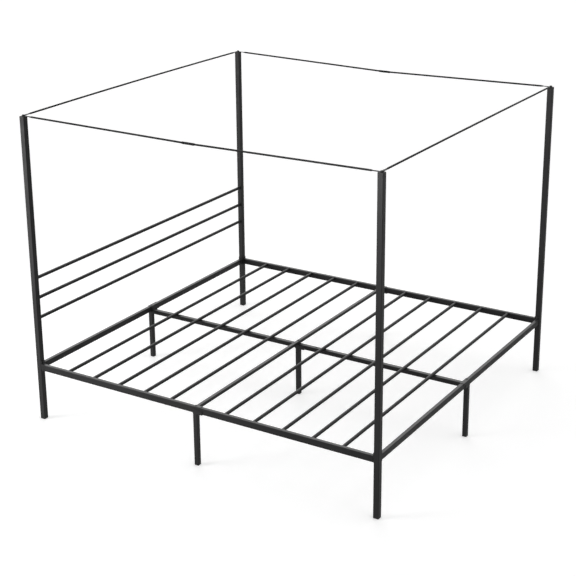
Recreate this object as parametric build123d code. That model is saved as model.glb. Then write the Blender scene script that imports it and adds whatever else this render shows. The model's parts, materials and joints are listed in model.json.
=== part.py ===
from build123d import *
import os
from math import hypot, pi

# King-size four poster canopy bed in powder-coated steel tube. Millimetres, +Z up, head of the
# bed towards +Y, +X to its right. The origin is on the floor under the middle of the bed.

# Posts
post_spacing_x = 1970.0
post_spacing_y = 2070.0
post_height = 1700.0
post_side = 30.0
post_wall = 1.2
post_corner = 3.0
post_cap_flange = 6.0
post_cap_stem = 18.0
post_plug_flange = 2.5
post_plug_stem = 22.0
plug_edge = 0.8
cap_edge = 1.5

# Side, head and foot rails
rail_top = 328.0
rail_width = 20.0
side_rail_height = 35.0
end_rail_height = 32.0
rail_wall = 1.5
rail_corner = 2.5
rail_seam_y = -44.0
rail_seam_gap = 1.0
sleeve_length = 200.0
sleeve_bolt_reach = 74.0
sleeve_wall = 1.5

# Welded bracket on each rail end, hooked into the post
collar_length = 17.0
collar_gap = 1.2
stub_inserted = 30.0
stub_wall = 2.0
plate_thickness = 3.0
plate_side_margin = 1.0
plate_ear = 15.0
plate_ear_corner = 4.0
hooks_each_end = 2
hook_thickness = 4.0
hook_neck = 6.0
hook_drop = 5.0
hook_depth = 3.0
hook_first = 7.0
hook_pitch = 15.0
hook_clearance = 0.4

# Centre rail and middle cross beam, with their hook plates
bend_share = 0.8
centre_rail_side = 25.0
centre_hook_thickness = 2.0
centre_hook_long_side = 62.0
centre_hook_short_side = 14.0
centre_hook_lip = 12.0
beam_side = 18.0
beam_wall = 1.2
beam_corner = 1.5
beam_hook_thickness = 2.0
beam_hook_foot_reach = 33.0
beam_hook_head_reach = 9.0
beam_hook_height = 24.0
beam_access_clearance = 0.7

# Slats
slat_diameter = 18.0
slat_wall = 1.0
slat_pitch = 168.6
slats_each_half = 5
slat_below_rail_top = 2.0
slat_plug_flange = 1.8
slat_plug_stem = 14.0
slat_nib_diameter = 8.0
slat_nib_length = 5.0

# Support legs
leg_side = 25.0
leg_wall = 1.5
leg_corner = 2.5
leg_cap_flange = 5.0
leg_cap_stem = 15.0
cradle_plate = 2.5
cradle_flange = 19.0
cradle_long_side = 44.0
cradle_short_side = 13.0
cradle_clearance = 0.3
cradle_corner = 2.5
leg_nut_diameter = 12.0
leg_nut_height = 6.0

# Headboard bars
bar_diameter = 18.0
bar_wall = 1.2
bar_lowest_z = 588.0
bar_pitch = 113.5
bar_count = 3
bar_insertion = 8.0
bush_flange_diameter = 24.0
bush_flange = 2.0
bush_wall = 1.2
bush_depth = 12.0

# Canopy rods
rod_diameter = 9.5
rod_wall = 1.0
rod_flat_thickness = 2.0
rod_flat_length = 35.0
rod_transition = 20.0
rod_gap_in_coupler = 1.0
left_rod_droop = 10.0
right_rod_droop = 21.0
head_rod_bow = 5.0
foot_rod_bow = 1.5
coupler_diameter = 12.7
coupler_length = 70.0

# Screws and bolts
screw_diameter = 6.0
screw_head_diameter = 11.0
screw_head_height = 2.4
screw_head_edge = 0.8
sleeve_bolt_length = 10.0
rivet_nut_diameter = 9.0
rivet_nut_length = 10.0
rivet_nut_bulge_diameter = 11.0
rivet_nut_bulge = 3.0
knob_diameter = 15.0
knob_height = 4.5
knob_rim = 1.4

# Clearances
hole_clearance = 0.3
slide_clearance = 0.2
rest_gap = 0.3

# Places that follow from the sizes above
half_x = post_spacing_x / 2
half_y = post_spacing_y / 2
post_inner_x = half_x - post_side / 2
post_inner_y = half_y - post_side / 2
side_rail_x = half_x + post_side / 2 - rail_width / 2
side_rail_inner_x = side_rail_x - rail_width / 2
side_rail_bottom = rail_top - side_rail_height
end_rail_bottom = rail_top - end_rail_height
end_rail_inner_y = half_y - rail_width / 2
slat_z = rail_top - slat_below_rail_top - slat_diameter / 2
centre_rail_top = slat_z - slat_diameter / 2 - rest_gap
centre_rail_z = centre_rail_top - centre_rail_side / 2
centre_rail_bottom = centre_rail_top - centre_rail_side
beam_top = centre_rail_top + beam_side
bracket_shown = collar_length + collar_gap
ear_bolt_z = rail_top + plate_ear / 2
screw_hole = screw_diameter + 2 * hole_clearance
ends = (("head", 1), ("foot", -1))
sides = (("left", -1), ("right", 1))


def save(name, *pieces):
    """Writes one node, a single solid or a group of separate ones."""
    solids = [solid for piece in pieces for solid in piece.solids()]
    shape = solids[0] if len(solids) == 1 else Compound(children=solids)
    export_step(shape, f"parts/{name}.step")


def block(x_range, y_range, z_range):
    """A plain box between two corners, whichever order each pair is in."""
    ranges = [sorted(pair) for pair in (x_range, y_range, z_range)]
    middle = [(low + high) / 2 for low, high in ranges]
    size = [high - low for low, high in ranges]
    return Pos(*middle) * Box(*size)


def rod(direction, start, diameter, length):
    """A round bar from a point, along a direction."""
    return extrude(Plane(origin=start, z_dir=direction) * Circle(diameter / 2), length)


def section(width, height, wall, corner):
    """Rectangular tube section with rounded corners."""
    bore_corner = max(corner - wall, wall / 4)
    bore = RectangleRounded(width - 2 * wall, height - 2 * wall, bore_corner)
    return RectangleRounded(width, height, corner) - bore


def tube_x(x_range, y, z, tube_section):
    """A tube along X whose section lies on Y and Z."""
    plane = Plane(origin=(x_range[0], y, z), x_dir=(0, 1, 0), z_dir=(1, 0, 0))
    return extrude(plane * tube_section, x_range[1] - x_range[0])


def tube_y(y_range, x, z, tube_section):
    """A tube along Y whose section lies on X and Z."""
    plane = Plane(origin=(x, y_range[0], z), x_dir=(1, 0, 0), z_dir=(0, 1, 0))
    return extrude(plane * tube_section, y_range[1] - y_range[0])


def tube_z(z_range, tube_section):
    return Pos(0, 0, z_range[0]) * extrude(tube_section, z_range[1] - z_range[0])


def round_section(diameter, wall):
    return Circle(diameter / 2) - Circle(diameter / 2 - wall)


def corner_face(side_x, side_y, towards_x):
    """Frame on a post's inner face: local X goes into the post and local Z stays up."""
    if towards_x:
        return Pos(side_x * post_inner_x, side_y * half_y, 0) * Rot(0, 0, 0 if side_x > 0 else 180)
    return Pos(side_x * half_x, side_y * post_inner_y, 0) * Rot(0, 0, 90 * side_y)


# Screws, nuts and plugs


def screw(length):
    """Button-head screw on the local Z axis, its head seated on Z = 0 and its shank below."""
    head = extrude(Circle(screw_head_diameter / 2), screw_head_height)
    head = chamfer(head.edges().group_by(Axis.Z)[-1], screw_head_edge)
    return head + Pos(0, 0, -length) * extrude(Circle(screw_diameter / 2), length)


def thumb_screw(length):
    """Mushroom-headed thumb screw, seated as the screw above."""
    head = extrude(Circle(knob_diameter / 2), knob_height)
    head = fillet(head.edges().group_by(Axis.Z)[-1], knob_height - knob_rim)
    return head + Pos(0, 0, -length) * extrude(Circle(screw_diameter / 2), length)


def rivet_nut():
    """Rivet nut on the local X axis, from the post's face inwards."""
    body = rod((1, 0, 0), (0, 0, 0), rivet_nut_diameter, rivet_nut_length)
    body += rod((1, 0, 0), (post_wall, 0, 0), rivet_nut_bulge_diameter, rivet_nut_bulge)
    return body - rod((1, 0, 0), (0, 0, 0), screw_hole, rivet_nut_length)


def insert_plug(side, tube_wall, corner, flange, stem, edge):
    """Plastic end plug: a flange above the local origin and a stem for the tube below it."""
    stem_side = side - 2 * tube_wall - 2 * slide_clearance
    top = extrude(RectangleRounded(side, side, corner), flange)
    top = chamfer(top.edges().group_by(Axis.Z)[-1], edge)
    return top + Pos(0, 0, -stem) * extrude(RectangleRounded(stem_side, stem_side, corner / 2), stem)


# Posts and the hooked brackets that hang the rails on them


def hook_heights(rail_bottom):
    """Bottoms of the hook necks on a rail's end."""
    return [rail_bottom + hook_first + step * hook_pitch for step in range(hooks_each_end)]


def hook(z_bottom):
    """Hook on the back of a rail's end plate: a neck through the post's wall and a claw behind it."""
    half = hook_thickness / 2
    claw_front = post_wall + hook_clearance
    claw_back = claw_front + hook_depth
    neck = block((0, claw_back), (-half, half), (z_bottom, z_bottom + hook_neck))
    return neck + block((claw_front, claw_back), (-half, half), (z_bottom - hook_drop, z_bottom + hook_neck))


def hook_slot(z_bottom):
    """Slot in the post's wall that the claw enters before it drops."""
    half = hook_thickness / 2 + hook_clearance
    z_top = z_bottom + hook_neck + hook_drop + hook_clearance
    return block((-post_wall, 2 * post_wall), (-half, half), (z_bottom, z_top))


def rail_end(rail_height, rail_bottom, sideways):
    """Welded end of a rail, facing +X, with the post's face at X = 0.

    A stub inside the rail carries a collar of the rail's own section and an end plate with its
    hooks, and an ear above the rail takes the bolt.
    """
    half = post_side / 2 - plate_side_margin
    plate = block((-plate_thickness, 0), (-half, half), (rail_bottom, rail_top + plate_ear))
    plate = fillet(plate.edges().filter_by(Axis.X).group_by(Axis.Z)[-1], plate_ear_corner)
    plate -= rod((1, 0, 0), (-plate_thickness, 0, ear_bolt_z), screw_hole, plate_thickness)
    middle = rail_bottom + rail_height / 2
    stub_section = section(rail_width - 2 * rail_wall, rail_height - 2 * rail_wall, stub_wall,
                           rail_corner - rail_wall)
    stub_range = (-plate_thickness - bracket_shown - stub_inserted, -plate_thickness)
    bracket = plate + tube_x(stub_range, sideways, middle, stub_section)
    bracket += tube_x((-plate_thickness - collar_length, -plate_thickness), sideways, middle,
                      section(rail_width, rail_height, rail_wall, rail_corner))
    for z_bottom in hook_heights(rail_bottom):
        bracket += hook(z_bottom)
    return bracket


def post(side_x, side_y):
    """Corner post: tube with hook slots, rivet nut holes and, at the head, headboard bar holes."""
    tube = tube_z((post_cap_flange, post_height - post_plug_flange),
                  section(post_side, post_side, post_wall, post_corner))
    body = Pos(side_x * half_x, side_y * half_y, 0) * tube
    nut_hole = rivet_nut_diameter + 2 * slide_clearance
    for towards_x, rail_bottom in ((True, end_rail_bottom), (False, side_rail_bottom)):
        face = corner_face(side_x, side_y, towards_x)
        for z_bottom in hook_heights(rail_bottom):
            body -= face * hook_slot(z_bottom)
        body -= face * rod((1, 0, 0), (-post_wall, 0, ear_bolt_z), nut_hole, 3 * post_wall)
    if side_y > 0:
        for z in bar_heights:
            body -= rod((side_x, 0, 0), (side_x * (post_inner_x - post_wall), half_y, z),
                        bush_hole_diameter, 3 * post_wall)
    return body


# Rails, their joining sleeves and the cross beam


def half_rail_range(tube_end, side_y):
    """Extent along Y of the head or foot half of a split rail, up to the seam's narrow gap."""
    seam_end = rail_seam_y + side_y * rail_seam_gap / 2
    return (seam_end, tube_end) if side_y > 0 else (-tube_end, seam_end)


def side_rail(side_x, side_y):
    """Half of a side rail, from the seam to the bracket hooked into its post."""
    y_range = half_rail_range(post_inner_y - plate_thickness - bracket_shown, side_y)
    rail = tube_y(y_range, side_x * side_rail_x, side_rail_bottom + side_rail_height / 2,
                  section(rail_width, side_rail_height, rail_wall, rail_corner))
    sideways = -side_x * side_y * (side_rail_x - half_x)
    rail += corner_face(side_x, side_y, False) * rail_end(side_rail_height, side_rail_bottom, sideways)
    for y in slat_rows:
        if y_range[0] < y < y_range[1]:
            start = (side_x * (side_rail_inner_x - rail_wall), y, slat_z)
            rail -= rod((side_x, 0, 0), start, slat_nib_diameter + 2 * slide_clearance, 3 * rail_wall)
    sleeve_bolt_y = rail_seam_y + side_y * sleeve_bolt_reach
    below = side_rail_bottom - rail_wall
    rail -= rod((0, 0, 1), (side_x * side_rail_x, sleeve_bolt_y, below), screw_hole, 3 * rail_wall)
    if side_y > 0:
        through = side_rail_height + 2 * rail_wall
        rail -= rod((0, 0, 1), (side_x * side_rail_x, 0, below), screw_hole, through)
    return rail


def end_rail(side_y):
    """Head or foot rail, with a bracket on both ends and a bolt hole in the middle."""
    tube_end = post_inner_x - plate_thickness - bracket_shown
    rail = tube_x((-tube_end, tube_end), side_y * half_y, end_rail_bottom + end_rail_height / 2,
                  section(rail_width, end_rail_height, rail_wall, rail_corner))
    for side_x in (-1, 1):
        rail += corner_face(side_x, side_y, True) * rail_end(end_rail_height, end_rail_bottom, 0)
    below = end_rail_bottom - rail_wall
    return rail - rod((0, 0, 1), (0, side_y * half_y, below), screw_hole, end_rail_height + 2 * rail_wall)


def sleeve(x, z, width, height):
    """Joining sleeve inside the two halves of a rail."""
    gap = 2 * rail_wall + 2 * slide_clearance
    y_range = (rail_seam_y - sleeve_length / 2, rail_seam_y + sleeve_length / 2)
    return tube_y(y_range, x, z, section(width - gap, height - gap, sleeve_wall, rail_corner / 2))


def side_sleeve(side_x):
    x = side_x * side_rail_x
    body = sleeve(x, side_rail_bottom + side_rail_height / 2, rail_width, side_rail_height)
    for step in (-1, 1):
        start = (x, rail_seam_y + step * sleeve_bolt_reach, side_rail_bottom)
        body -= rod((0, 0, 1), start, screw_hole, 3 * rail_wall)
    return body - rod((0, 0, 1), (x, 0, side_rail_bottom), screw_hole, side_rail_height)


def centre_sleeve():
    body = sleeve(0, centre_rail_z, centre_rail_side, centre_rail_side)
    for step in (-1, 1):
        start = (0, rail_seam_y + step * sleeve_bolt_reach, centre_rail_top)
        body -= rod((0, 0, -1), start, screw_hole, 3 * rail_wall)
    return body - rod((0, 0, -1), (0, 0, centre_rail_top), screw_hole, centre_rail_side)


def centre_hook():
    """Plate that hooks over the head rail, made for the centre rail's head end.

    Half a turn about Z makes it the foot end's.
    """
    t = centre_hook_thickness
    inner = end_rail_inner_y - t
    outer = half_y + rail_width / 2
    x_range = (-centre_hook_short_side, centre_hook_long_side)
    plate = block(x_range, (inner, end_rail_inner_y), (end_rail_bottom, rail_top + t))
    plate += block(x_range, (inner, outer + t), (rail_top, rail_top + t))
    plate += block(x_range, (outer, outer + t), (rail_top - centre_hook_lip, rail_top + t))
    plate = fillet(plate.edges().filter_by(Axis.X).group_by(Axis.Z)[-1], bend_share * t)
    return plate - rod((0, 0, 1), (0, half_y, rail_top), screw_hole, t)


def centre_rail(side_y):
    """Half of the centre rail with its hook plate welded on, coped round the end rail's leg."""
    y_range = half_rail_range(end_rail_inner_y - centre_hook_thickness, side_y)
    rail = tube_y(y_range, 0, centre_rail_z,
                  section(centre_rail_side, centre_rail_side, rail_wall, rail_corner))
    rail += Rot(0, 0, 0 if side_y > 0 else 180) * centre_hook()
    leg_room = leg_side / 2 + cradle_clearance
    rail -= block((-leg_room, leg_room), (side_y * (half_y - leg_room), side_y * half_y),
                  (centre_rail_bottom - rail_wall, end_rail_bottom))
    above = centre_rail_top + rail_wall
    bolt_y = rail_seam_y + side_y * sleeve_bolt_reach
    rail -= rod((0, 0, -1), (0, bolt_y, above), screw_hole, 3 * rail_wall)
    if side_y > 0:
        rail -= rod((0, 0, -1), (0, 0, above), screw_hole, centre_rail_side + 2 * rail_wall)
    return rail


def cross_beam():
    """Middle cross beam, with a hook plate on each end that lies on the side rail.

    The bolt in its middle goes in through a wider hole in the top wall, and its head is seated
    on the bottom wall, so that nothing stands up under the mattress.
    """
    t = beam_hook_thickness
    tube_end = side_rail_inner_x - t
    beam = tube_x((-tube_end, tube_end), 0, centre_rail_top + beam_side / 2,
                  section(beam_side, beam_side, beam_wall, beam_corner))
    y_range = (-beam_hook_foot_reach, beam_hook_head_reach)
    plate_top = rail_top + t
    for side_x in (-1, 1):
        plate = block((side_x * tube_end, side_x * side_rail_inner_x), y_range,
                      (plate_top - beam_hook_height, plate_top))
        plate += block((side_x * tube_end, side_x * (side_rail_x + rail_width / 2)), y_range,
                       (rail_top, plate_top))
        plate = fillet(plate.edges().filter_by(Axis.Y).group_by(Axis.Z)[-1], bend_share * t)
        beam += plate - rod((0, 0, 1), (side_x * side_rail_x, 0, rail_top), screw_hole, t)
    access_hole = screw_head_diameter + 2 * beam_access_clearance
    beam -= rod((0, 0, -1), (0, 0, beam_top), access_hole, 2 * beam_wall)
    return beam - rod((0, 0, -1), (0, 0, beam_top), screw_hole, beam_side)


# Support legs


def support_leg(carried_width, carried_bottom, flange_sides):
    """Leg with a welded cradle under a rail that runs along local Y over the origin.

    flange_sides lists the sides, -1 or 1 along local X, where the cradle has an upright flange.
    """
    base_bottom = carried_bottom - cradle_plate
    y_range = (-cradle_long_side, cradle_short_side)
    inside = carried_width / 2 + cradle_clearance
    reach = [max(leg_side / 2, inside + cradle_plate) if side in flange_sides else leg_side / 2
             for side in (-1, 1)]
    cradle = block((-reach[0], reach[1]), y_range, (base_bottom, carried_bottom))
    for side in flange_sides:
        cradle += block((side * inside, side * (inside + cradle_plate)), y_range,
                        (base_bottom, carried_bottom + cradle_flange))
    cradle = fillet(cradle.edges().filter_by(Axis.X).group_by(Axis.Z)[-1], cradle_corner)
    leg = tube_z((leg_cap_flange, base_bottom), section(leg_side, leg_side, leg_wall, leg_corner)) + cradle
    nut_bottom = base_bottom - leg_nut_height
    leg += rod((0, 0, 1), (0, 0, nut_bottom), leg_nut_diameter, leg_nut_height)
    return leg - rod((0, 0, 1), (0, 0, nut_bottom), screw_hole, leg_nut_height + cradle_plate)


# Slats and headboard bars


def slat(y):
    half = side_rail_inner_x - slat_plug_flange - slide_clearance
    return tube_x((-half, half), y, slat_z, round_section(slat_diameter, slat_wall))


def slat_plug(side_x, y):
    """Plastic plug in a slat's end, its nib in the side rail's inner wall."""
    start = (side_x * (side_rail_inner_x - slide_clearance), y, slat_z)
    stem_diameter = slat_diameter - 2 * slat_wall - 2 * slide_clearance
    plug = rod((-side_x, 0, 0), start, slat_diameter, slat_plug_flange)
    plug += rod((-side_x, 0, 0), start, stem_diameter, slat_plug_flange + slat_plug_stem)
    return plug + rod((side_x, 0, 0), start, slat_nib_diameter, slat_nib_length)


def headboard_bar(z):
    half = post_inner_x + bar_insertion
    return tube_x((-half, half), half_y, z, round_section(bar_diameter, bar_wall))


def bar_bush(side_x, z):
    """Flanged cup in a head post's wall that holds the end of a headboard bar."""
    bore = bar_diameter + 2 * slide_clearance
    out = (side_x, 0, 0)
    start = (side_x * (post_inner_x - bush_flange), half_y, z)
    cup = rod(out, start, bush_flange_diameter, bush_flange)
    cup += rod(out, start, bore + 2 * bush_wall, bush_flange + bush_depth)
    return cup - rod(out, start, bore, bush_flange + bush_depth - bush_wall)


# Canopy rods: their pressed ends lie stacked on the posts under the thumb screws


def flat_end():
    """Pressed end of a rod on the local XY plane, from its hole towards +X."""
    tongue = Circle(flat_width / 2)
    tongue += Pos(rod_flat_length / 2, 0) * Rectangle(rod_flat_length, flat_width)
    flat = extrude(tongue, rod_flat_thickness / 2, both=True)
    return flat - Cylinder(screw_hole / 2, rod_flat_thickness)


def flat_to_round(round_plane):
    """The stretch where the pressed end opens out into the round rod."""
    flat_plane = Plane(origin=(rod_flat_length, 0, 0), x_dir=(0, 1, 0), z_dir=(1, 0, 0))
    pressed = flat_plane * SlotOverall(flat_width, rod_flat_thickness)
    return loft([pressed.face(), (round_plane * Circle(rod_diameter / 2)).face()])


def droop_slope(droop):
    return droop / (half_y - rod_flat_length)


def round_start(x, z, slope):
    """Plane across a rod where its round stretch starts, on an axis that leaves +X by the slope."""
    return Plane(origin=(x, 0, z), x_dir=(0, 1, 0), z_dir=(1, 0, slope))


def long_rod_half(droop):
    """Half of a side canopy rod, from the screw at the local origin towards +X.

    It lies flat on the post and then runs straight down to the coupler's height.
    """
    slope = droop_slope(droop)
    start = rod_flat_length + rod_transition
    plane = round_start(start, -slope * rod_transition, -slope)
    length = (half_y - rod_gap_in_coupler / 2 - start) * hypot(1, slope)
    body = flat_end() + flat_to_round(plane)
    body += extrude(plane * Circle(rod_diameter / 2), length)
    return body - extrude(plane * Circle(rod_diameter / 2 - rod_wall), length)


def short_rod(bow):
    """Head or foot canopy rod in one piece, bowed up a little between its pressed ends."""
    start = rod_flat_length + rod_transition
    path = ThreePointArc((start, 0, 0), (half_x, 0, bow), (post_spacing_x - start, 0, 0))
    slope = (path % 0).Z / (path % 0).X
    plane = round_start(start, 0, slope)
    end = flat_end() + flat_to_round(plane)
    body = end + Pos(post_spacing_x, 0, 0) * Rot(0, 0, 180) * end
    body += sweep(plane * Circle(rod_diameter / 2), path=path)
    return body - sweep(plane * Circle(rod_diameter / 2 - rod_wall), path=path)


def coupler(side_x, droop):
    """Short sleeve over the two halves of a side canopy rod, bored along both of their slopes."""
    slope = droop_slope(droop)
    centre_z = long_flat_z - droop
    rise = slope * coupler_length / 4
    body = rod((0, 1, 0), (side_x * half_x, -coupler_length / 2, centre_z + rise), coupler_diameter,
               coupler_length)
    for side_y in (-1, 1):
        body -= rod((0, side_y, slope), (side_x * half_x, 0, centre_z),
                    rod_diameter + 2 * slide_clearance, coupler_length)
    return body


bar_heights = [bar_lowest_z + step * bar_pitch for step in range(bar_count)]
bush_hole_diameter = bar_diameter + 2 * bush_wall + 4 * slide_clearance
slat_rows = [row * slat_pitch for row in range(-slats_each_half, slats_each_half + 1) if row]
flat_width = (pi * rod_diameter - pi * rod_flat_thickness) / 2 + rod_flat_thickness
long_flat_z = post_height + rod_flat_thickness / 2
short_flat_z = long_flat_z + rod_flat_thickness

os.makedirs("parts", exist_ok=True)

for end, side_y in ends:
    for side, side_x in sides:
        save(f"post_{end}_{side}", post(side_x, side_y))
        save(f"side_rail_{side}_{end}", side_rail(side_x, side_y))
    save(f"{end}_rail", end_rail(side_y))
    save(f"centre_rail_{end}", centre_rail(side_y))

corners = [(side_x, side_y) for _, side_x in sides for _, side_y in ends]
post_spots = [Pos(side_x * half_x, side_y * half_y, 0) for side_x, side_y in corners]
foot_cap = Pos(0, 0, post_cap_flange) * Rot(180, 0, 0) * insert_plug(
    post_side, post_wall, post_corner, post_cap_flange, post_cap_stem, cap_edge)
save("post_foot_caps", *[spot * foot_cap for spot in post_spots])
top_plug = Pos(0, 0, post_height - post_plug_flange) * insert_plug(
    post_side, post_wall, post_corner, post_plug_flange, post_plug_stem, plug_edge)
top_plug -= rod((0, 0, -1), (0, 0, post_height), screw_hole, post_plug_flange + post_plug_stem)
save("post_top_plugs", *[spot * top_plug for spot in post_spots])

faces = [corner_face(side_x, side_y, towards_x) for side_x, side_y in corners
         for towards_x in (True, False)]
corner_bolt = Pos(-plate_thickness, 0, ear_bolt_z) * Rot(0, -90, 0) * screw(
    plate_thickness + rivet_nut_length)
save("rail_corner_bolts", *[face * corner_bolt for face in faces])
save("post_rivet_nuts", *[face * Pos(0, 0, ear_bolt_z) * rivet_nut() for face in faces])

sleeve_bolt = screw(sleeve_bolt_length)
bolt_rows = [rail_seam_y + step * sleeve_bolt_reach for step in (-1, 1)]
save("side_rail_sleeve_bolts", *[Pos(side_x * side_rail_x, y, side_rail_bottom) * Rot(180, 0, 0) * sleeve_bolt
                                 for _, side_x in sides for y in bolt_rows])
save("centre_rail_sleeve_bolts", *[Pos(0, y, centre_rail_top) * sleeve_bolt for y in bolt_rows])
for side, side_x in sides:
    save(f"side_rail_sleeve_{side}", side_sleeve(side_x))
save("centre_rail_sleeve", centre_sleeve())
save("mid_cross_beam", cross_beam())

# Each leg with its place, what it carries and the surface its long bolt is seated on
beam_hook_top = rail_top + beam_hook_thickness
centre_hook_top = rail_top + centre_hook_thickness
legs = {
    "left": (Pos(-side_rail_x, 0, 0), rail_width, side_rail_bottom, (-1,), beam_hook_top),
    "right": (Pos(side_rail_x, 0, 0), rail_width, side_rail_bottom, (1,), beam_hook_top),
    "head": (Pos(0, half_y, 0) * Rot(0, 0, 90), rail_width, end_rail_bottom, (1,), centre_hook_top),
    "foot": (Pos(0, -half_y, 0) * Rot(0, 0, -90), rail_width, end_rail_bottom, (1,), centre_hook_top),
    "centre": (Pos(0, 0, 0), centre_rail_side, centre_rail_bottom, (-1, 1), centre_rail_top + beam_wall),
}
leg_cap = Pos(0, 0, leg_cap_flange) * Rot(180, 0, 0) * insert_plug(
    leg_side, leg_wall, leg_corner, leg_cap_flange, leg_cap_stem, cap_edge)
leg_bolts = []
for name, (place, width, carried_bottom, flange_sides, bolt_seat) in legs.items():
    save(f"support_leg_{name}", place * support_leg(width, carried_bottom, flange_sides))
    bolt_end = carried_bottom - cradle_plate - leg_nut_height
    leg_bolts.append(place * Pos(0, 0, bolt_seat) * screw(bolt_seat - bolt_end))
save("leg_bolts", *leg_bolts)
save("leg_foot_caps", *[place * leg_cap for place, *_ in legs.values()])

for number, y in enumerate(slat_rows, 1):
    save(f"slat_{number}", slat(y))
save("slat_end_plugs", *[slat_plug(side_x, y) for y in slat_rows for _, side_x in sides])

for name, z in zip(("bottom", "middle", "top"), bar_heights):
    save(f"headboard_bar_{name}", headboard_bar(z))
save("headboard_bar_bushes", *[bar_bush(side_x, z) for z in bar_heights for _, side_x in sides])

for (side, side_x), droop in zip(sides, (left_rod_droop, right_rod_droop)):
    for end, side_y in ends:
        place = Pos(side_x * half_x, side_y * half_y, long_flat_z) * Rot(0, 0, -90 * side_y)
        save(f"canopy_rod_{side}_{end}", place * long_rod_half(droop))
    save(f"canopy_rod_coupler_{side}", coupler(side_x, droop))
for (end, side_y), bow in zip(ends, (head_rod_bow, foot_rod_bow)):
    save(f"canopy_rod_{end}", Pos(-half_x, side_y * half_y, short_flat_z) * short_rod(bow))

screw_seat_z = post_height + 2 * rod_flat_thickness
canopy_screw = thumb_screw(screw_seat_z - post_height + post_plug_flange + post_plug_stem)
save("canopy_thumb_screws", *[spot * Pos(0, 0, screw_seat_z) * canopy_screw for spot in post_spots])
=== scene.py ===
import json
import math
import bpy
import bmesh
from mathutils import Matrix, Vector


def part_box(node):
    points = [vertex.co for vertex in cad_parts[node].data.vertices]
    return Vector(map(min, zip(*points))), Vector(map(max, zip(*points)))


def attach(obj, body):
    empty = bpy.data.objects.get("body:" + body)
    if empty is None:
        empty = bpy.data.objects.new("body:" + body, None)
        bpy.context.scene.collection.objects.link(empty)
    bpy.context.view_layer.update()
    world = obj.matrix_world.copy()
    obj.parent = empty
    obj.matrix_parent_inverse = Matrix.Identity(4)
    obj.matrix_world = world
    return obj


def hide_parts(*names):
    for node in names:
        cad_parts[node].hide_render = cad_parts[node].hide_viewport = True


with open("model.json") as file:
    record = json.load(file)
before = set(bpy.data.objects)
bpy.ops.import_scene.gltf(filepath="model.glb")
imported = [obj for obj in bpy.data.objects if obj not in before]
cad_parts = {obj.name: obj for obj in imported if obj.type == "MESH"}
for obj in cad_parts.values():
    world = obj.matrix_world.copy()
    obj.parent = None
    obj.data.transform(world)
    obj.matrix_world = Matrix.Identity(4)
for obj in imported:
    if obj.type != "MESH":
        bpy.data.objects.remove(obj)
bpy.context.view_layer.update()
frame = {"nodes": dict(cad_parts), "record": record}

scene = bpy.context.scene
mm = 0.001

# camera: where it stands in metres, which way it looks in degrees, and its lens
cameraValues = {"place": (-6.047, -3.710, 3.333), "azimuth": -58.04, "elevation": 18.37, "roll": -0.49,
                "lens": 85.4, "shiftY": -0.1}


def makeCamera(values):
    data = bpy.data.cameras.new("camera")
    data.lens = values["lens"]
    data.shift_y = values["shiftY"]
    camera = bpy.data.objects.new("camera", data)
    scene.collection.objects.link(camera)
    turn = (Matrix.Rotation(math.radians(values["azimuth"]), 4, "Z")
            @ Matrix.Rotation(math.radians(90 - values["elevation"]), 4, "X")
            @ Matrix.Rotation(math.radians(values["roll"]), 4, "Z"))
    camera.matrix_world = Matrix.Translation(values["place"]) @ turn
    scene.camera = camera


# floor, world and lamps: a sun has its turn in degrees, its power and its softness in degrees,
# and a panel its place, what it faces, its size, its power and the angle of its beam
stageValues = {"floorRadius": 60.0, "floorSides": 64, "floorColour": 0.80, "floorRoughness": 0.8,
               "floorLift": 0.39, "worldLight": 0.38, "backdrop": 1.0,
               "suns": (("topSun", (16, 0, 25), 0.8, 45), ("backSun", (62, 0, 130), 0.60, 40)),
               "panels": (("sidePanel", (-5.0, 5.2, 1.2), (0.0, 0.0, 1.2), (3.0, 2.0), 70, 60),
                          ("cornerPanel", (-3.2, 0.2, 1.9), (-1.0, -1.1, 1.8), (1.2, 0.6), 6, 36))}
white = (1, 1, 1, 1)


def backdropRays(tree):
    # 1 for the rays that see the pale background, 0 for those that light the object
    path = tree.nodes.new("ShaderNodeLightPath")
    total = path.outputs["Is Camera Ray"]
    for kind in ("Is Glossy Ray", "Is Transmission Ray"):
        either = tree.nodes.new("ShaderNodeMath")
        either.operation = "MAXIMUM"
        tree.links.new(total, either.inputs[0])
        tree.links.new(path.outputs[kind], either.inputs[1])
        total = either.outputs[0]
    return total


def makeFloor(values):
    bm = bmesh.new()
    bmesh.ops.create_circle(bm, cap_ends=True, segments=values["floorSides"], radius=values["floorRadius"])
    mesh = bpy.data.meshes.new("floor")
    bm.to_mesh(mesh)
    bm.free()
    floor = bpy.data.objects.new("floor", mesh)
    scene.collection.objects.link(floor)
    material = bpy.data.materials.new("floorPaint")
    material.use_nodes = True
    tree = material.node_tree
    shader = tree.nodes["Principled BSDF"]
    pale = values["floorColour"]
    shader.inputs["Base Color"].default_value = (pale, pale, pale, 1)
    shader.inputs["Roughness"].default_value = values["floorRoughness"]
    shader.inputs["Emission Color"].default_value = white
    lift = tree.nodes.new("ShaderNodeMath")
    lift.operation = "MULTIPLY"
    lift.inputs[1].default_value = values["floorLift"]
    tree.links.new(backdropRays(tree), lift.inputs[0])
    tree.links.new(lift.outputs[0], shader.inputs["Emission Strength"])
    mesh.materials.append(material)


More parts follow.
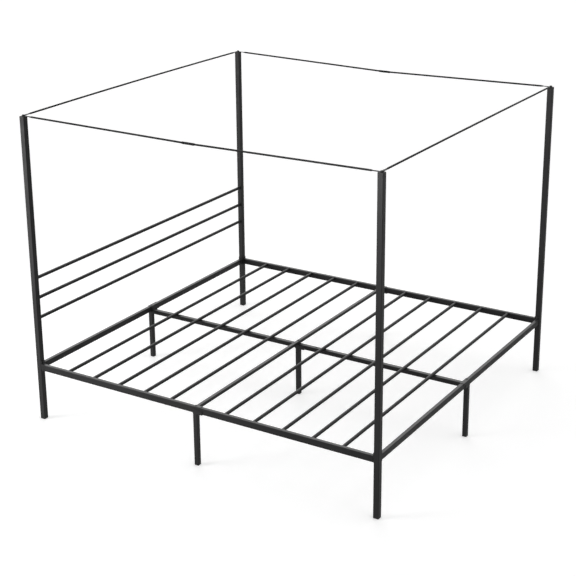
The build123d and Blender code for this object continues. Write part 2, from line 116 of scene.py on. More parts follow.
def makeWorld(values):
    world = bpy.data.worlds.new("studio")
    scene.world = world
    world.use_nodes = True
    tree = world.node_tree
    tree.nodes.clear()
    lit = tree.nodes.new("ShaderNodeBackground")
    lit.inputs["Color"].default_value = white
    lit.inputs["Strength"].default_value = values["worldLight"]
    seen = tree.nodes.new("ShaderNodeBackground")
    seen.inputs["Color"].default_value = white
    seen.inputs["Strength"].default_value = values["backdrop"]
    mix = tree.nodes.new("ShaderNodeMixShader")
    out = tree.nodes.new("ShaderNodeOutputWorld")
    tree.links.new(backdropRays(tree), mix.inputs[0])
    tree.links.new(lit.outputs[0], mix.inputs[1])
    tree.links.new(seen.outputs[0], mix.inputs[2])
    tree.links.new(mix.outputs[0], out.inputs[0])


def makeSuns(values):
    for name, degrees, power, softness in values["suns"]:
        data = bpy.data.lights.new(name, "SUN")
        data.energy = power
        data.angle = math.radians(softness)
        lamp = bpy.data.objects.new(name, data)
        lamp.rotation_euler = [math.radians(value) for value in degrees]
        scene.collection.objects.link(lamp)


def makePanels(values):
    # soft panels that the camera doesn't see
    for name, place, target, size, power, spread in values["panels"]:
        data = bpy.data.lights.new(name, "AREA")
        data.shape = "RECTANGLE"
        data.size, data.size_y = size
        data.energy = power
        data.spread = math.radians(spread)
        lamp = bpy.data.objects.new(name, data)
        lamp.location = place
        lamp.rotation_euler = (Vector(place) - Vector(target)).to_track_quat("Z", "Y").to_euler()
        lamp.visible_camera = False
        scene.collection.objects.link(lamp)


makeCamera(cameraValues)
makeFloor(stageValues)
makeWorld(stageValues)
makeSuns(stageValues)
makePanels(stageValues)
scene.view_settings.view_transform = "Standard"
print("stage ready")


# finishes: shared effects are node groups that put out colours, masks and heights


def startGroup(name, inputs, outputs):
    group = bpy.data.node_groups.new(name, "ShaderNodeTree")
    for label, kind, value in inputs:
        socket = group.interface.new_socket(name=label, in_out="INPUT", socket_type=kind)
        socket.default_value = value
    for label, kind in outputs:
        group.interface.new_socket(name=label, in_out="OUTPUT", socket_type=kind)
    return group, group.nodes.new("NodeGroupInput").outputs, group.nodes.new("NodeGroupOutput").inputs


def wire(tree, source, target):
    if hasattr(source, "links"):
        tree.links.new(source, target)
    else:
        target.default_value = source


def calc(tree, operation, first, second=0.0, clamp=False):
    node = tree.nodes.new("ShaderNodeMath")
    node.operation = operation
    node.use_clamp = clamp
    wire(tree, first, node.inputs[0])
    wire(tree, second, node.inputs[1])
    return node.outputs[0]


def ramp(tree, value, limits, results=(0.0, 1.0)):
    # a smooth step: the value's limits become the two results
    node = tree.nodes.new("ShaderNodeMapRange")
    node.interpolation_type = "SMOOTHSTEP"
    wire(tree, value, node.inputs["Value"])
    for source, label in zip((*limits, *results), ("From Min", "From Max", "To Min", "To Max")):
        wire(tree, source, node.inputs[label])
    return node.outputs["Result"]


def blend(tree, share, first, second):
    # mixes two colours: a Mix node keeps its colours in inputs 6 and 7 and in output 2
    node = tree.nodes.new("ShaderNodeMix")
    node.data_type = "RGBA"
    wire(tree, share, node.inputs["Factor"])
    wire(tree, first, node.inputs[6])
    wire(tree, second, node.inputs[7])
    return node.outputs[2]


def noise(tree, size, detail, stretch=None):
    # noise on Object coordinates whose lumps measure about size, in metres
    coordinates = tree.nodes.new("ShaderNodeTexCoord").outputs["Object"]
    if stretch:
        mapping = tree.nodes.new("ShaderNodeMapping")
        mapping.inputs["Scale"].default_value = stretch
        tree.links.new(coordinates, mapping.inputs["Vector"])
        coordinates = mapping.outputs["Vector"]
    node = tree.nodes.new("ShaderNodeTexNoise")
    node.inputs["Detail"].default_value = detail
    tree.links.new(coordinates, node.inputs["Vector"])
    wire(tree, calc(tree, "DIVIDE", 1.0, size), node.inputs["Scale"])
    return node.outputs["Fac"]


def facing(tree):
    # how far a face turns away from the nearest of X, Y and Z, and how far it looks up
    split = tree.nodes.new("ShaderNodeSeparateXYZ")
    tree.links.new(tree.nodes.new("ShaderNodeNewGeometry").outputs["Normal"], split.inputs[0])
    sizes = [calc(tree, "ABSOLUTE", split.outputs[axis]) for axis in range(3)]
    most = calc(tree, "MAXIMUM", calc(tree, "MAXIMUM", sizes[0], sizes[1]), sizes[2])
    return calc(tree, "SUBTRACT", 1.0, most), split.outputs[2]


# relief of the skins: its sizes in mm, and how high the grain is beside the lumps
reliefValues = {"lumpSize": 2.0, "lumpDetail": 1, "grainSize": 0.4, "grainDetail": 2, "grainShare": 0.3}


def makeReliefGroup(values):
    # fine lumps of a sprayed or moulded skin, with a finer grain on them
    group, given, result = startGroup(
        "skinRelief",
        [("Lump Size", "NodeSocketFloat", values["lumpSize"] * mm),
         ("Grain Size", "NodeSocketFloat", values["grainSize"] * mm),
         ("Grain Share", "NodeSocketFloat", values["grainShare"])],
        [("Height", "NodeSocketFloat")])
    lumps = noise(group, given["Lump Size"], values["lumpDetail"])
    grain = noise(group, given["Grain Size"], values["grainDetail"])
    fine = calc(group, "MULTIPLY", grain, given["Grain Share"])
    group.links.new(calc(group, "ADD", lumps, fine), result["Height"])
    return group


# the coat's patterns: their sizes in mm, and the limits between which each effect comes in
coatValues = {"driftSize": 350, "driftDetail": 3, "drift": (0.3, 0.7),
              "patchSize": 30, "patchDetail": 4, "scuffSize": 8, "scuffDetail": 5,
              "rubbedCorner": (0.06, 0.25), "rubbedPatch": (0.42, 0.62), "rubPolish": 0.12,
              "scuff": (0.66, 0.74), "scuffShare": 0.5,
              "dustColour": 0.12, "dustyTop": (0.55, 0.95), "dustyPatch": (0.3, 0.75),
              "dustSpread": (0.4, 1.0), "dustRough": 0.3,
              "roughPatch": (0.3, 0.7), "roughSpread": (-0.04, 0.05),
              "glossyTop": (0.15, 0.8), "glossyPatch": (0.25, 0.6), "glossSpread": (0.8, 1.0)}


def makeCoatGroup(values):
    # tone of a powder coat: slow drift, rubbed corners and a film of dust on what looks up
    dustTone = values["dustColour"]
    group, given, result = startGroup(
        "coatTone",
        [("Colour", "NodeSocketColor", (0.01, 0.01, 0.01, 1)),
         ("Rubbed Colour", "NodeSocketColor", (0.04, 0.04, 0.04, 1)),
         ("Dust Colour", "NodeSocketColor", (dustTone, dustTone, dustTone, 1)),
         ("Drift", "NodeSocketFloat", 0.25), ("Rub", "NodeSocketFloat", 0.4),
         ("Dust", "NodeSocketFloat", 0.1), ("Roughness", "NodeSocketFloat", 0.4),
         ("Top Gloss", "NodeSocketFloat", 0.8)],
        [("Colour", "NodeSocketColor"), ("Roughness", "NodeSocketFloat"), ("Gloss", "NodeSocketFloat")])
    corner, upward = facing(group)
    slow = noise(group, values["driftSize"] * mm, values["driftDetail"])
    patchy = noise(group, values["patchSize"] * mm, values["patchDetail"])
    scuffs = noise(group, values["scuffSize"] * mm, values["scuffDetail"])
    darkest = calc(group, "SUBTRACT", 1.0, given["Drift"])
    palest = calc(group, "ADD", 1.0, given["Drift"])
    shaded = group.nodes.new("ShaderNodeVectorMath")
    shaded.operation = "SCALE"
    group.links.new(given["Colour"], shaded.inputs[0])
    group.links.new(ramp(group, slow, values["drift"], (darkest, palest)), shaded.inputs["Scale"])

    rubbed = calc(group, "MULTIPLY", ramp(group, corner, values["rubbedCorner"]),
                  ramp(group, patchy, values["rubbedPatch"]))
    rubbed = calc(group, "MULTIPLY", rubbed, given["Rub"])
    scuffed = calc(group, "MULTIPLY", ramp(group, scuffs, values["scuff"]), given["Rub"])
    rubbed = calc(group, "MAXIMUM", rubbed, calc(group, "MULTIPLY", scuffed, values["scuffShare"]))
    dust = calc(group, "MULTIPLY", ramp(group, upward, values["dustyTop"]),
                ramp(group, patchy, values["dustyPatch"], values["dustSpread"]))
    dust = calc(group, "MULTIPLY", dust, given["Dust"])
    colour = blend(group, rubbed, shaded.outputs[0], given["Rubbed Colour"])
    group.links.new(blend(group, dust, colour, given["Dust Colour"]), result["Colour"])

    uneven = ramp(group, patchy, values["roughPatch"], values["roughSpread"])
    rough = calc(group, "ADD", given["Roughness"], uneven)
    rough = calc(group, "SUBTRACT", rough, calc(group, "MULTIPLY", rubbed, values["rubPolish"]))
    rough = calc(group, "ADD", rough, calc(group, "MULTIPLY", dust, values["dustRough"]), clamp=True)
    group.links.new(rough, result["Roughness"])
    gloss = calc(group, "MULTIPLY", ramp(group, upward, values["glossyTop"]),
                 ramp(group, patchy, values["glossyPatch"], values["glossSpread"]))
    group.links.new(calc(group, "MULTIPLY", gloss, given["Top Gloss"]), result["Gloss"])
    return group


# the same for the screws' steel
steelValues = {"streakSize": 0.8, "streakDetail": 3, "streakStretch": (1.0, 1.0, 6.0),
               "blotchSize": 6, "blotchDetail": 3,
               "wornCorner": (0.1, 0.4), "wornStreak": (0.45, 0.65), "blotch": (0.3, 0.7),
               "roughSpread": (-0.06, 0.08)}


def makeSteelGroup(values):
    # turned steel: fine streaks and a darker, oily blotch here and there
    group, given, result = startGroup(
        "steelTone",
        [("Colour", "NodeSocketColor", (0.02, 0.02, 0.02, 1)),
         ("Worn Colour", "NodeSocketColor", (0.15, 0.15, 0.15, 1)),
         ("Wear", "NodeSocketFloat", 0.3), ("Roughness", "NodeSocketFloat", 0.35)],
        [("Colour", "NodeSocketColor"), ("Roughness", "NodeSocketFloat")])
    corner = facing(group)[0]
    streaks = noise(group, values["streakSize"] * mm, values["streakDetail"], values["streakStretch"])
    blotches = noise(group, values["blotchSize"] * mm, values["blotchDetail"])
    worn = calc(group, "MULTIPLY", ramp(group, corner, values["wornCorner"]),
                ramp(group, streaks, values["wornStreak"]))
    worn = calc(group, "MULTIPLY", worn, given["Wear"])
    group.links.new(blend(group, worn, given["Colour"], given["Worn Colour"]), result["Colour"])
    uneven = ramp(group, blotches, values["blotch"], values["roughSpread"])
    group.links.new(calc(group, "ADD", given["Roughness"], uneven, clamp=True), result["Roughness"])
    return group


reliefGroup = makeReliefGroup(reliefValues)
coatGroup = makeCoatGroup(coatValues)
steelGroup = makeSteelGroup(steelValues)

# one row per finish: lump and bump are the skin's lumps and their height in mm, and edgeRough
# is what the roughness gains where a face turns away from the eye; the bars and rods wear the
# frame's powder coat, and their darker colours are painted shade
rimFacing = (0.55, 0.95)
coolCast = 1.03
finishValues = {
    "post_coat": {"kind": "coat", "colour": 0.0115, "rubbed": 0.040, "rub": 0.35, "dust": 0.05,
                  "drift": 0.22, "roughness": 0.54, "specular": 0.14, "lump": 1.6, "bump": 0.07,
                  "topGloss": 0.55, "coatRoughness": 0.3, "edgeRough": 0.35},
    "rail_coat": {"kind": "coat", "colour": 0.0115, "rubbed": 0.040, "rub": 0.40, "dust": 0.07,
                  "drift": 0.22, "roughness": 0.52, "specular": 0.12, "lump": 1.6, "bump": 0.07,
                  "topGloss": 0.42, "coatRoughness": 0.3, "edgeRough": 0.35},
    "leg_coat": {"kind": "coat", "colour": 0.0110, "rubbed": 0.035, "rub": 0.35, "dust": 0.05,
                 "drift": 0.22, "roughness": 0.55, "specular": 0.14, "lump": 1.6, "bump": 0.07,
                 "topGloss": 0.55, "coatRoughness": 0.3, "edgeRough": 0.35},
    # the bars' colour is darker than the frame's: painted shade that stands in for their darker undersides
    "bar_coat": {"kind": "coat", "colour": 0.0090, "rubbed": 0.035, "rub": 0.10, "dust": 0.05,
                 "drift": 0.18, "roughness": 0.50, "specular": 0.06, "lump": 1.5, "bump": 0.06,
                 "topGloss": 0.50, "coatRoughness": 0.30, "edgeRough": 0.50},
    # the rods' colour is darker still: painted shade that makes the thin rods read darker
    "rod_coat": {"kind": "coat", "colour": 0.0075, "rubbed": 0.040, "rub": 0.15, "dust": 0.04,
                 "drift": 0.18, "roughness": 0.55, "specular": 0.05, "lump": 1.2, "bump": 0.05,
                 "topGloss": 0.22, "coatRoughness": 0.30, "edgeRough": 0.45},
    "black_bolts": {"kind": "steel", "colour": 0.010, "worn": 0.10, "wear": 0.35, "metallic": 0.35,
                    "roughness": 0.34, "specular": 0.4, "lump": 0.5, "bump": 0.01, "edgeRough": 0.1},
    "thumb_screws": {"kind": "steel", "colour": 0.006, "worn": 0.06, "wear": 0.25, "metallic": 0.2,
                     "roughness": 0.32, "specular": 0.3, "lump": 0.5, "bump": 0.01, "edgeRough": 0.1},
    "zinc_nuts": {"kind": "steel", "colour": 0.42, "worn": 0.60, "wear": 0.5, "metallic": 1.0,
                  "roughness": 0.30, "specular": 0.5, "lump": 0.4, "bump": 0.01, "edgeRough": 0.0},
    "black_plastic": {"kind": "coat", "colour": 0.0060, "rubbed": 0.020, "rub": 0.20, "dust": 0.04,
                      "drift": 0.12, "roughness": 0.52, "specular": 0.3, "lump": 0.7, "bump": 0.05,
                      "topGloss": 0.0, "coatRoughness": 0.4, "edgeRough": 0.2},
}


def grey(value):
    # a neutral grey, very slightly cool
    return (value, value, value * coolCast, 1)


def makeFinish(name, values):
    material = bpy.data.materials.new(name)
    material.use_nodes = True
    tree = material.node_tree
    shader = tree.nodes["Principled BSDF"]
    shader.inputs["Specular IOR Level"].default_value = values["specular"]
    tone = tree.nodes.new("ShaderNodeGroup")
    if values["kind"] == "coat":
        tone.node_tree = coatGroup
        tone.inputs["Colour"].default_value = grey(values["colour"])
        tone.inputs["Rubbed Colour"].default_value = grey(values["rubbed"])
        tone.inputs["Drift"].default_value = values["drift"]
        tone.inputs["Rub"].default_value = values["rub"]
        tone.inputs["Dust"].default_value = values["dust"]
        tone.inputs["Top Gloss"].default_value = values["topGloss"]
        shader.inputs["Coat Roughness"].default_value = values["coatRoughness"]
        tree.links.new(tone.outputs["Gloss"], shader.inputs["Coat Weight"])
    else:
        tone.node_tree = steelGroup
        tone.inputs["Colour"].default_value = grey(values["colour"])
        tone.inputs["Worn Colour"].default_value = grey(values["worn"])
        tone.inputs["Wear"].default_value = values["wear"]
        shader.inputs["Metallic"].default_value = values["metallic"]
    tone.inputs["Roughness"].default_value = values["roughness"]
    tree.links.new(tone.outputs["Colour"], shader.inputs["Base Color"])
    turnedAway = tree.nodes.new("ShaderNodeLayerWeight").outputs["Facing"]
    edge = ramp(tree, turnedAway, rimFacing, (0.0, values["edgeRough"]))
    rough = calc(tree, "ADD", tone.outputs["Roughness"], edge, clamp=True)
    tree.links.new(rough, shader.inputs["Roughness"])
    relief = tree.nodes.new("ShaderNodeGroup")
    relief.node_tree = reliefGroup
    relief.inputs["Lump Size"].default_value = values["lump"] * mm
    bump = tree.nodes.new("ShaderNodeBump")
    bump.inputs["Distance"].default_value = values["bump"] * mm
    tree.links.new(relief.outputs["Height"], bump.inputs["Height"])
    tree.links.new(bump.outputs["Normal"], shader.inputs["Normal"])
    return material


finishes = {name: makeFinish(name, values) for name, values in finishValues.items()}
for part in frame["record"]["subparts"]:
    mesh = frame["nodes"][part["node"]].data
    mesh.materials.clear()
    mesh.materials.append(finishes[part["material_slot"]])
print("finishes ready")


# shared modelling helpers, and the gaps in metres under which points are merged
meshValues = {"mergeGap": 0.005 * mm, "cadMergeGap": 0.01 * mm, "sharpAngle": math.radians(35)}


def solidBoxes(nodeName):
    # lowest and highest corner of each separate solid in a CAD node
    bm = bmesh.new()
    bm.from_mesh(frame["nodes"][nodeName].data)
    bmesh.ops.remove_doubles(bm, verts=bm.verts, dist=meshValues["cadMergeGap"])
    boxes, seen = [], set()
    for first in bm.verts:
        if first in seen:
            continue
        seen.add(first)
        corners, waiting = [], [first]
        while waiting:
            vert = waiting.pop()
            corners.append(tuple(vert.co))
            for edge in vert.link_edges:
                other = edge.other_vert(vert)
                if other not in seen:
                    seen.add(other)
                    waiting.append(other)
        boxes.append((Vector(map(min, zip(*corners))), Vector(map(max, zip(*corners)))))
    bm.free()
    return boxes


def finishPiece(name, bm, slotName, replaced=()):
    bmesh.ops.remove_doubles(bm, verts=bm.verts, dist=meshValues["mergeGap"])
    bmesh.ops.recalc_face_normals(bm, faces=bm.faces)
    mesh = bpy.data.meshes.new(name)
    bm.to_mesh(mesh)
    bm.free()
    mesh.shade_smooth()
    mesh.set_sharp_from_angle(angle=meshValues["sharpAngle"])
    mesh.materials.append(finishes[slotName])
    piece = bpy.data.objects.new(name, mesh)
    scene.collection.objects.link(piece)
    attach(piece, "root")
    if replaced:
        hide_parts(*replaced)
    return piece


def addCopy(bm, source, place):
    # adds a placed copy of one bmesh to another
    mesh = bpy.data.meshes.new("copy")
    source.to_mesh(mesh)
    count = len(bm.verts)
    bm.from_mesh(mesh)
    bm.verts.ensure_lookup_table()
    bmesh.ops.transform(bm, matrix=place, verts=bm.verts[count:])
    bpy.data.meshes.remove(mesh)


def aimed(seat, direction):
    # turns local +Z to a direction and moves the origin to the seat
    return Matrix.Translation(seat) @ Vector(direction).to_track_quat("Z", "Y").to_matrix().to_4x4()


def roundEdges(bm, edges, size, segments):
    # one segment makes a chamfer
    bmesh.ops.bevel(bm, geom=edges, offset=size, segments=segments, affect="EDGES", profile=0.5,
                    material=-1)


def turned(profile, steps):
    # solid of revolution about Z from (radius, height) points
    bm = bmesh.new()
    verts = [bm.verts.new((radius, 0, height)) for radius, height in profile]
    edges = [bm.edges.new(pair) for pair in zip(verts, verts[1:])]
    bmesh.ops.spin(bm, geom=verts + edges, axis=(0, 0, 1), cent=(0, 0, 0), angle=math.tau, steps=steps,
                   use_merge=True)
    bmesh.ops.remove_doubles(bm, verts=bm.verts, dist=meshValues["mergeGap"])
    return bm


def dome(radius, rim, height, steps):
    # points of a head's side and dome, from the rim's foot to near its middle
    points = [(radius, 0), (radius, rim)]
    for step in range(1, steps):
        angle = math.pi / 2 * step / steps
        points.append((radius * math.cos(angle), rim + (height - rim) * math.sin(angle)))
    return points


# screws with a domed head and a hexagon socket, in mm: the dome stops at the mouth, which is
# wider than the socket by its share, and the drill's cone goes deeper by its share
boltValues = {"head": 2.4, "rim": 0.5, "socket": 2.3, "socketDepth": 1.7, "shank": 3.0,
              "mouth": 1.25, "mouthHeight": 0.6, "drill": 1.15, "domeSteps": 7, "turns": 36}
knobValues = {"head": 4.5, "rim": 1.2, "socket": 2.6, "socketDepth": 2.2, "shank": 3.0,
              "mouth": 1.25, "mouthHeight": 0.6, "drill": 1.15, "domeSteps": 8, "turns": 42}


def screwShape(radius, length, values):
    # local +Z points out of the head, whose seat is at Z = 0
    height, shank = values["head"] * mm, values["shank"] * mm
    socket, depth = values["socket"] * mm, values["socketDepth"] * mm
    head = [point for point in dome(radius, values["rim"] * mm, height, values["domeSteps"])
            if point[0] > socket * values["mouth"]]
    edge = head[-1][1] + (height - head[-1][1]) * values["mouthHeight"]
    inside = [(socket, edge), (socket, edge - depth), (0, edge - depth * values["drill"])]
    shape = turned([(0, -length), (shank, -length), (shank, 0)] + head + inside, values["turns"])
    sixth = math.pi / 3
    for vert in shape.verts:
        if vert.co.z > 0 and abs(vert.co.xy.length - socket) < meshValues["cadMergeGap"]:
            # the socket's round wall is drawn in to a hexagon
            angle = math.atan2(vert.co.y, vert.co.x) % sixth - sixth / 2
            vert.co.xy *= math.cos(sixth / 2) / math.cos(angle)
    return shape


def makeScrews(name, nodeName, slotName, values, upright):
    # upright is 1 for heads on top, -1 for heads below and 0 for level screws that face inwards
    bm = bmesh.new()
    for low, high in solidBoxes(nodeName):
        size, middle = high - low, (low + high) / 2
        direction, axis = Vector((0, 0, upright)), 2
        if not upright:
            axis = 0 if size.x > size.y else 1
            direction[axis] = -math.copysign(1, middle[axis])
        headRadius = (size.z if axis < 2 else size.x) / 2
        length = size[axis] - values["head"] * mm
        seat = middle + direction * (size[axis] / 2 - values["head"] * mm)
        shape = screwShape(headRadius, length, values)
        addCopy(bm, shape, aimed(seat, direction))
        shape.free()
    finishPiece(name, bm, slotName, [nodeName])


makeScrews("cornerBolts", "rail_corner_bolts", "black_bolts", boltValues, 0)
makeScrews("legBolts", "leg_bolts", "black_bolts", boltValues, 1)
makeScrews("sideSleeveBolts", "side_rail_sleeve_bolts", "black_bolts", boltValues, -1)
makeScrews("centreSleeveBolts", "centre_rail_sleeve_bolts", "black_bolts", boltValues, 1)
makeScrews("canopyScrews", "canopy_thumb_screws", "thumb_screws", knobValues, 1)
print("screws ready")


# moulded caps on the feet and plugs in the post tops, in mm: a flange with rounded corners
# and sole, a small lip behind it, and a stem that goes into the tube
postCapValues = {"flange": 6.0, "corner": 3.0, "sole": 1.6, "lip": 0.35, "stemInset": 1.5, "segments": 4}
legCapValues = {"flange": 5.0, "corner": 2.5, "sole": 1.6, "lip": 0.35, "stemInset": 1.8, "segments": 4}
plugValues = {"flange": 2.5, "corner": 3.0, "sole": 0.9, "lip": 0.3, "stemInset": 1.5, "segments": 4}


def capShape(side, depth, values):
    # local +Z is the side that shows: the flange starts at 0 and the stem goes to -depth
    flange = values["flange"] * mm
    bm = bmesh.new()
    bmesh.ops.create_cube(bm, size=1)
    bmesh.ops.scale(bm, vec=(side, side, flange), verts=bm.verts)
    bmesh.ops.translate(bm, vec=(0, 0, flange / 2), verts=bm.verts)
    upright = [edge for edge in bm.edges if abs(edge.verts[0].co.z - edge.verts[1].co.z) > flange / 2]
    roundEdges(bm, upright, values["corner"] * mm, values["segments"])
    top = max(bm.faces, key=lambda face: face.calc_center_median().z)
    base = min(bm.faces, key=lambda face: face.calc_center_median().z)
    topEdges, baseEdges = list(top.edges), list(base.edges)
    roundEdges(bm, topEdges, values["sole"] * mm, values["segments"])
    roundEdges(bm, baseEdges, values["lip"] * mm, 1)
    base = min(bm.faces, key=lambda face: face.calc_center_median().z)
    bmesh.ops.inset_region(bm, faces=[base], thickness=values["stemInset"] * mm)
    stem = bmesh.ops.extrude_face_region(bm, geom=[base])["geom"]
    stemVerts = [item for item in stem if isinstance(item, bmesh.types.BMVert)]
    bmesh.ops.translate(bm, vec=(0, 0, -depth), verts=stemVerts)
    bmesh.ops.delete(bm, geom=[base], context="FACES_ONLY")
    return bm


def makeCaps(name, nodeName, up, values):
    bm = bmesh.new()
    flange = values["flange"] * mm
    for low, high in solidBoxes(nodeName):
        size, middle = high - low, (low + high) / 2
        seat = Vector((middle.x, middle.y, high.z - flange if up > 0 else low.z + flange))
        shape = capShape(size.x, size.z - flange, values)
        addCopy(bm, shape, aimed(seat, (0, 0, up)))
        shape.free()
    finishPiece(name, bm, "black_plastic", [nodeName])


makeCaps("postFeet", "post_foot_caps", -1, postCapValues)
makeCaps("legFeet", "leg_foot_caps", -1, legCapValues)
makeCaps("postPlugs", "post_top_plugs", 1, plugValues)
print("caps ready")


# flanged bushes that hold the headboard bars in the head posts, in mm
bushValues = {"bore": 9.15, "wall": 1.2, "flange": 2.0, "round": 0.9, "roundSteps": 4, "turns": 48}


def makeBushes(values):
    bm = bmesh.new()
    bore, wall = values["bore"] * mm, values["wall"] * mm
    lip, soft = values["flange"] * mm, values["round"] * mm
    for low, high in solidBoxes("headboard_bar_bushes"):
        size, middle = high - low, (low + high) / 2
        outward = -math.copysign(1, middle.x)
        radius, depth = size.z / 2, size.x - lip
        profile = [(0, -depth), (bore + wall, -depth), (bore + wall, 0), (radius, 0)]
        for step in range(values["roundSteps"] + 1):
            angle = math.pi / 2 * step / values["roundSteps"]
            profile.append((radius - soft + soft * math.cos(angle), lip - soft + soft * math.sin(angle)))
        profile += [(bore + soft / 2, lip), (bore, lip - soft / 2), (bore, wall - depth), (0, wall - depth)]
        shape = turned(profile, values["turns"])
        seat = Vector((middle.x + outward * (size.x / 2 - lip), middle.y, middle.z))
        addCopy(bm, shape, aimed(seat, (outward, 0, 0)))
        shape.free()
    finishPiece("barBushes", bm, "black_plastic", ["headboard_bar_bushes"])


# couplers on the side canopy rods, in mm: rolled ends and two crimps
couplerValues = {"rodRadius": 4.6, "edge": 0.7, "crimpFrom": 20.0, "crimpWidth": 3.0, "crimpDepth": 0.45,
                 "crimpSlope": 0.75, "turns": 40}


def makeCoupler(side, values):
    node = "canopy_rod_coupler_" + side
    low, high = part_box(node)
    radius, half = (high[0] - low[0]) / 2, (high[1] - low[1]) / 2
    inner, edge = values["rodRadius"] * mm, values["edge"] * mm
    start, end = values["crimpFrom"] * mm, (values["crimpFrom"] + values["crimpWidth"]) * mm
    crimped, slope = radius - values["crimpDepth"] * mm, values["crimpSlope"] * mm
    # a point halfway round each rolled end
    bend = edge / 3
    rolled = [(inner, half), (radius - edge, half), (radius - bend, half - bend), (radius, half - edge)]
    crimp = [(radius, end), (crimped, end - slope), (crimped, start + slope), (radius, start)]
    mirrored = [(distance, -height) for distance, height in reversed(rolled + crimp)]
    bm = turned(rolled + crimp + mirrored, values["turns"])
    middle = [(first + second) / 2 for first, second in zip(low, high)]
    bmesh.ops.transform(bm, matrix=aimed(middle, (0, 1, 0)), verts=bm.verts)
    finishPiece("canopyCoupler" + side.title(), bm, "rod_coat", [node])


makeBushes(bushValues)
for side in ("left", "right"):
    makeCoupler(side, couplerValues)
print("bushes and couplers ready")


# weld beads where tubes are welded to plates, and the sizes of those joints, in mm
weldValues = {"radius": 1.8, "pitch": 1.3, "ripple": 0.2, "sway": 0.08, "swayStep": 0.8, "sides": 8,
              "corner": 2.2}
jointValues = {"plate": 3.0, "railWidth": 20.0, "railTop": 328.0, "hookPlate": 2.0, "centreRail": 25.0,
               "beam": 18.0, "beamTop": 4.3, "cradlePlate": 2.5, "legSide": 25.0, "inset": 1.8}


def cutCorners(points, cut):
    # replaces each corner of a line by two points, one on either side of it
    line = [points[0]]
    for before, corner, after in zip(points, points[1:], points[2:]):
        line.append(corner + (before - corner).normalized() * cut)
        line.append(corner + (after - corner).normalized() * cut)
    return line + [points[-1]]


def addBead(bm, points, normal):
    # rippled bead: rings set along a line that lies on a plate, each bridged to the next
    values = weldValues
    line = cutCorners([Vector(point) for point in points], values["corner"] * mm)
    stations = []
    for start, end in zip(line, line[1:]):
        count = max(1, round((end - start).length / (values["pitch"] * mm)))
        stations += [(start.lerp(end, step / count), (end - start).normalized()) for step in range(count)]
    stations.append((line[-1], stations[-1][1]))
    rings = []
    for index, (place, along) in enumerate(stations):
        swell = 1 - values["ripple"] * (index % 2) + values["sway"] * math.sin(values["swayStep"] * index)
        across = along.cross(normal)
        turn = Matrix((normal, across, along)).transposed().to_4x4()
        closed = index in (0, len(stations) - 1)
        ring = bmesh.ops.create_circle(bm, cap_ends=closed, segments=values["sides"],
                                       radius=values["radius"] * mm * swell,
                                       matrix=Matrix.Translation(place) @ turn)["verts"]
        rings.append(list({edge for vert in ring for edge in vert.link_edges}))
    for near, far in zip(rings, rings[1:]):
        bmesh.ops.bridge_loops(bm, edges=near + far)


def makeRailWelds(values):
    # beads round the rails' ends, on the faces of their end plates
    bm = bmesh.new()
    inset, plate, top = values["inset"] * mm, values["plate"] * mm, values["railTop"] * mm
    for side, way in (("left", -1), ("right", 1)):
        low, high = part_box("side_rail_" + side + "_head")
        outer = low[0] if way < 0 else high[0]
        inner = outer - way * values["railWidth"] * mm
        for end, turn in (("head", 1), ("foot", -1)):
            postLow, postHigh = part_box("post_" + end + "_" + side)
            y = (postLow[1] if turn > 0 else postHigh[1]) - turn * plate
            points = [(outer - way * inset, y, top), (inner, y, top), (inner, y, low[2] + inset)]
            addBead(bm, points, Vector((0, -turn, 0)))
    for end in ("head", "foot"):
        low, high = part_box(end + "_rail")
        middle, half, base = (low[1] + high[1]) / 2, values["railWidth"] / 2 * mm, low[2] + inset
        for side, way in (("left", -1), ("right", 1)):
            postLow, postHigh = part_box("post_" + end + "_" + side)
            x = (postHigh[0] if way < 0 else postLow[0]) - way * plate
            points = [(x, middle - half, base), (x, middle - half, top),
                      (x, middle + half, top), (x, middle + half, base)]
            addBead(bm, points, Vector((-way, 0, 0)))
    finishPiece("railWelds", bm, "rail_coat")


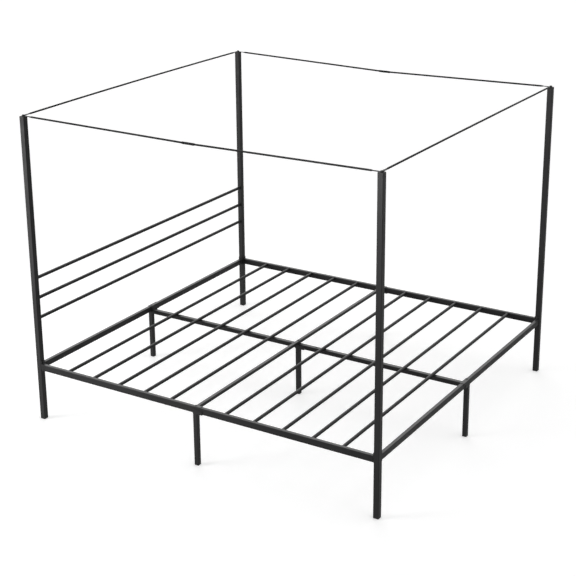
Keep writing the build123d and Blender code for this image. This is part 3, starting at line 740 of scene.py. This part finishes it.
def makeHookWelds(values):
    # beads between the hook plates and the ends of the centre rail and the cross beam
    bm = bmesh.new()
    half, inset = values["centreRail"] / 2 * mm, values["inset"] * mm
    for end, turn in (("head", 1), ("foot", -1)):
        railLow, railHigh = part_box(end + "_rail")
        middle = (railLow[1] + railHigh[1]) / 2
        y = middle - turn * (values["railWidth"] / 2 + values["hookPlate"]) * mm
        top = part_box("centre_rail_" + end)[0][2] + values["centreRail"] * mm
        base = railLow[2] + inset
        points = [(-half, y, base), (-half, y, top), (half, y, top), (half, y, base)]
        addBead(bm, points, Vector((0, -turn, 0)))
    low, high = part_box("mid_cross_beam")
    half, top, base = values["beam"] / 2 * mm, high[2] - values["beamTop"] * mm, low[2] + inset
    for way in (-1, 1):
        x = way * (high[0] - (values["railWidth"] + values["hookPlate"]) * mm)
        points = [(x, -half, base), (x, -half, top), (x, half - inset, top)]
        addBead(bm, points, Vector((-way, 0, 0)))
    finishPiece("hookPlateWelds", bm, "rail_coat")


def makeLegWelds(values):
    # a bead under each cradle, across the leg's face on the cradle's long side
    bm = bmesh.new()
    half, inset = values["legSide"] / 2 * mm, values["inset"] * mm
    feet = [(low + high) / 2 for low, high in solidBoxes("leg_foot_caps")]
    carried = {"left": "side_rail_left_head", "right": "side_rail_right_head", "head": "head_rail",
               "foot": "foot_rail", "centre": "centre_rail_head"}
    for name, rail in carried.items():
        low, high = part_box("support_leg_" + name)
        middle = (Vector(low) + Vector(high)) / 2
        centre = min(feet, key=lambda foot: (foot.xy - middle.xy).length)
        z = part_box(rail)[0][2] - values["cradlePlate"] * mm
        reaches = [(corner[axis] - centre[axis], axis) for corner in (low, high) for axis in (0, 1)]
        reach, axis = max(reaches, key=lambda pair: abs(pair[0]))
        forward = Vector((0, 0, 0))
        forward[axis] = math.copysign(1, reach)
        across = forward.cross(Vector((0, 0, 1)))
        seat = Vector((centre.x, centre.y, z))
        points = [seat + forward * half + across * (half - inset) * way for way in (-1, 1)]
        addBead(bm, points, Vector((0, 0, -1)))
    finishPiece("legWelds", bm, "leg_coat")


makeRailWelds(jointValues)
makeHookWelds(jointValues)
makeLegWelds(jointValues)
print("welds ready")
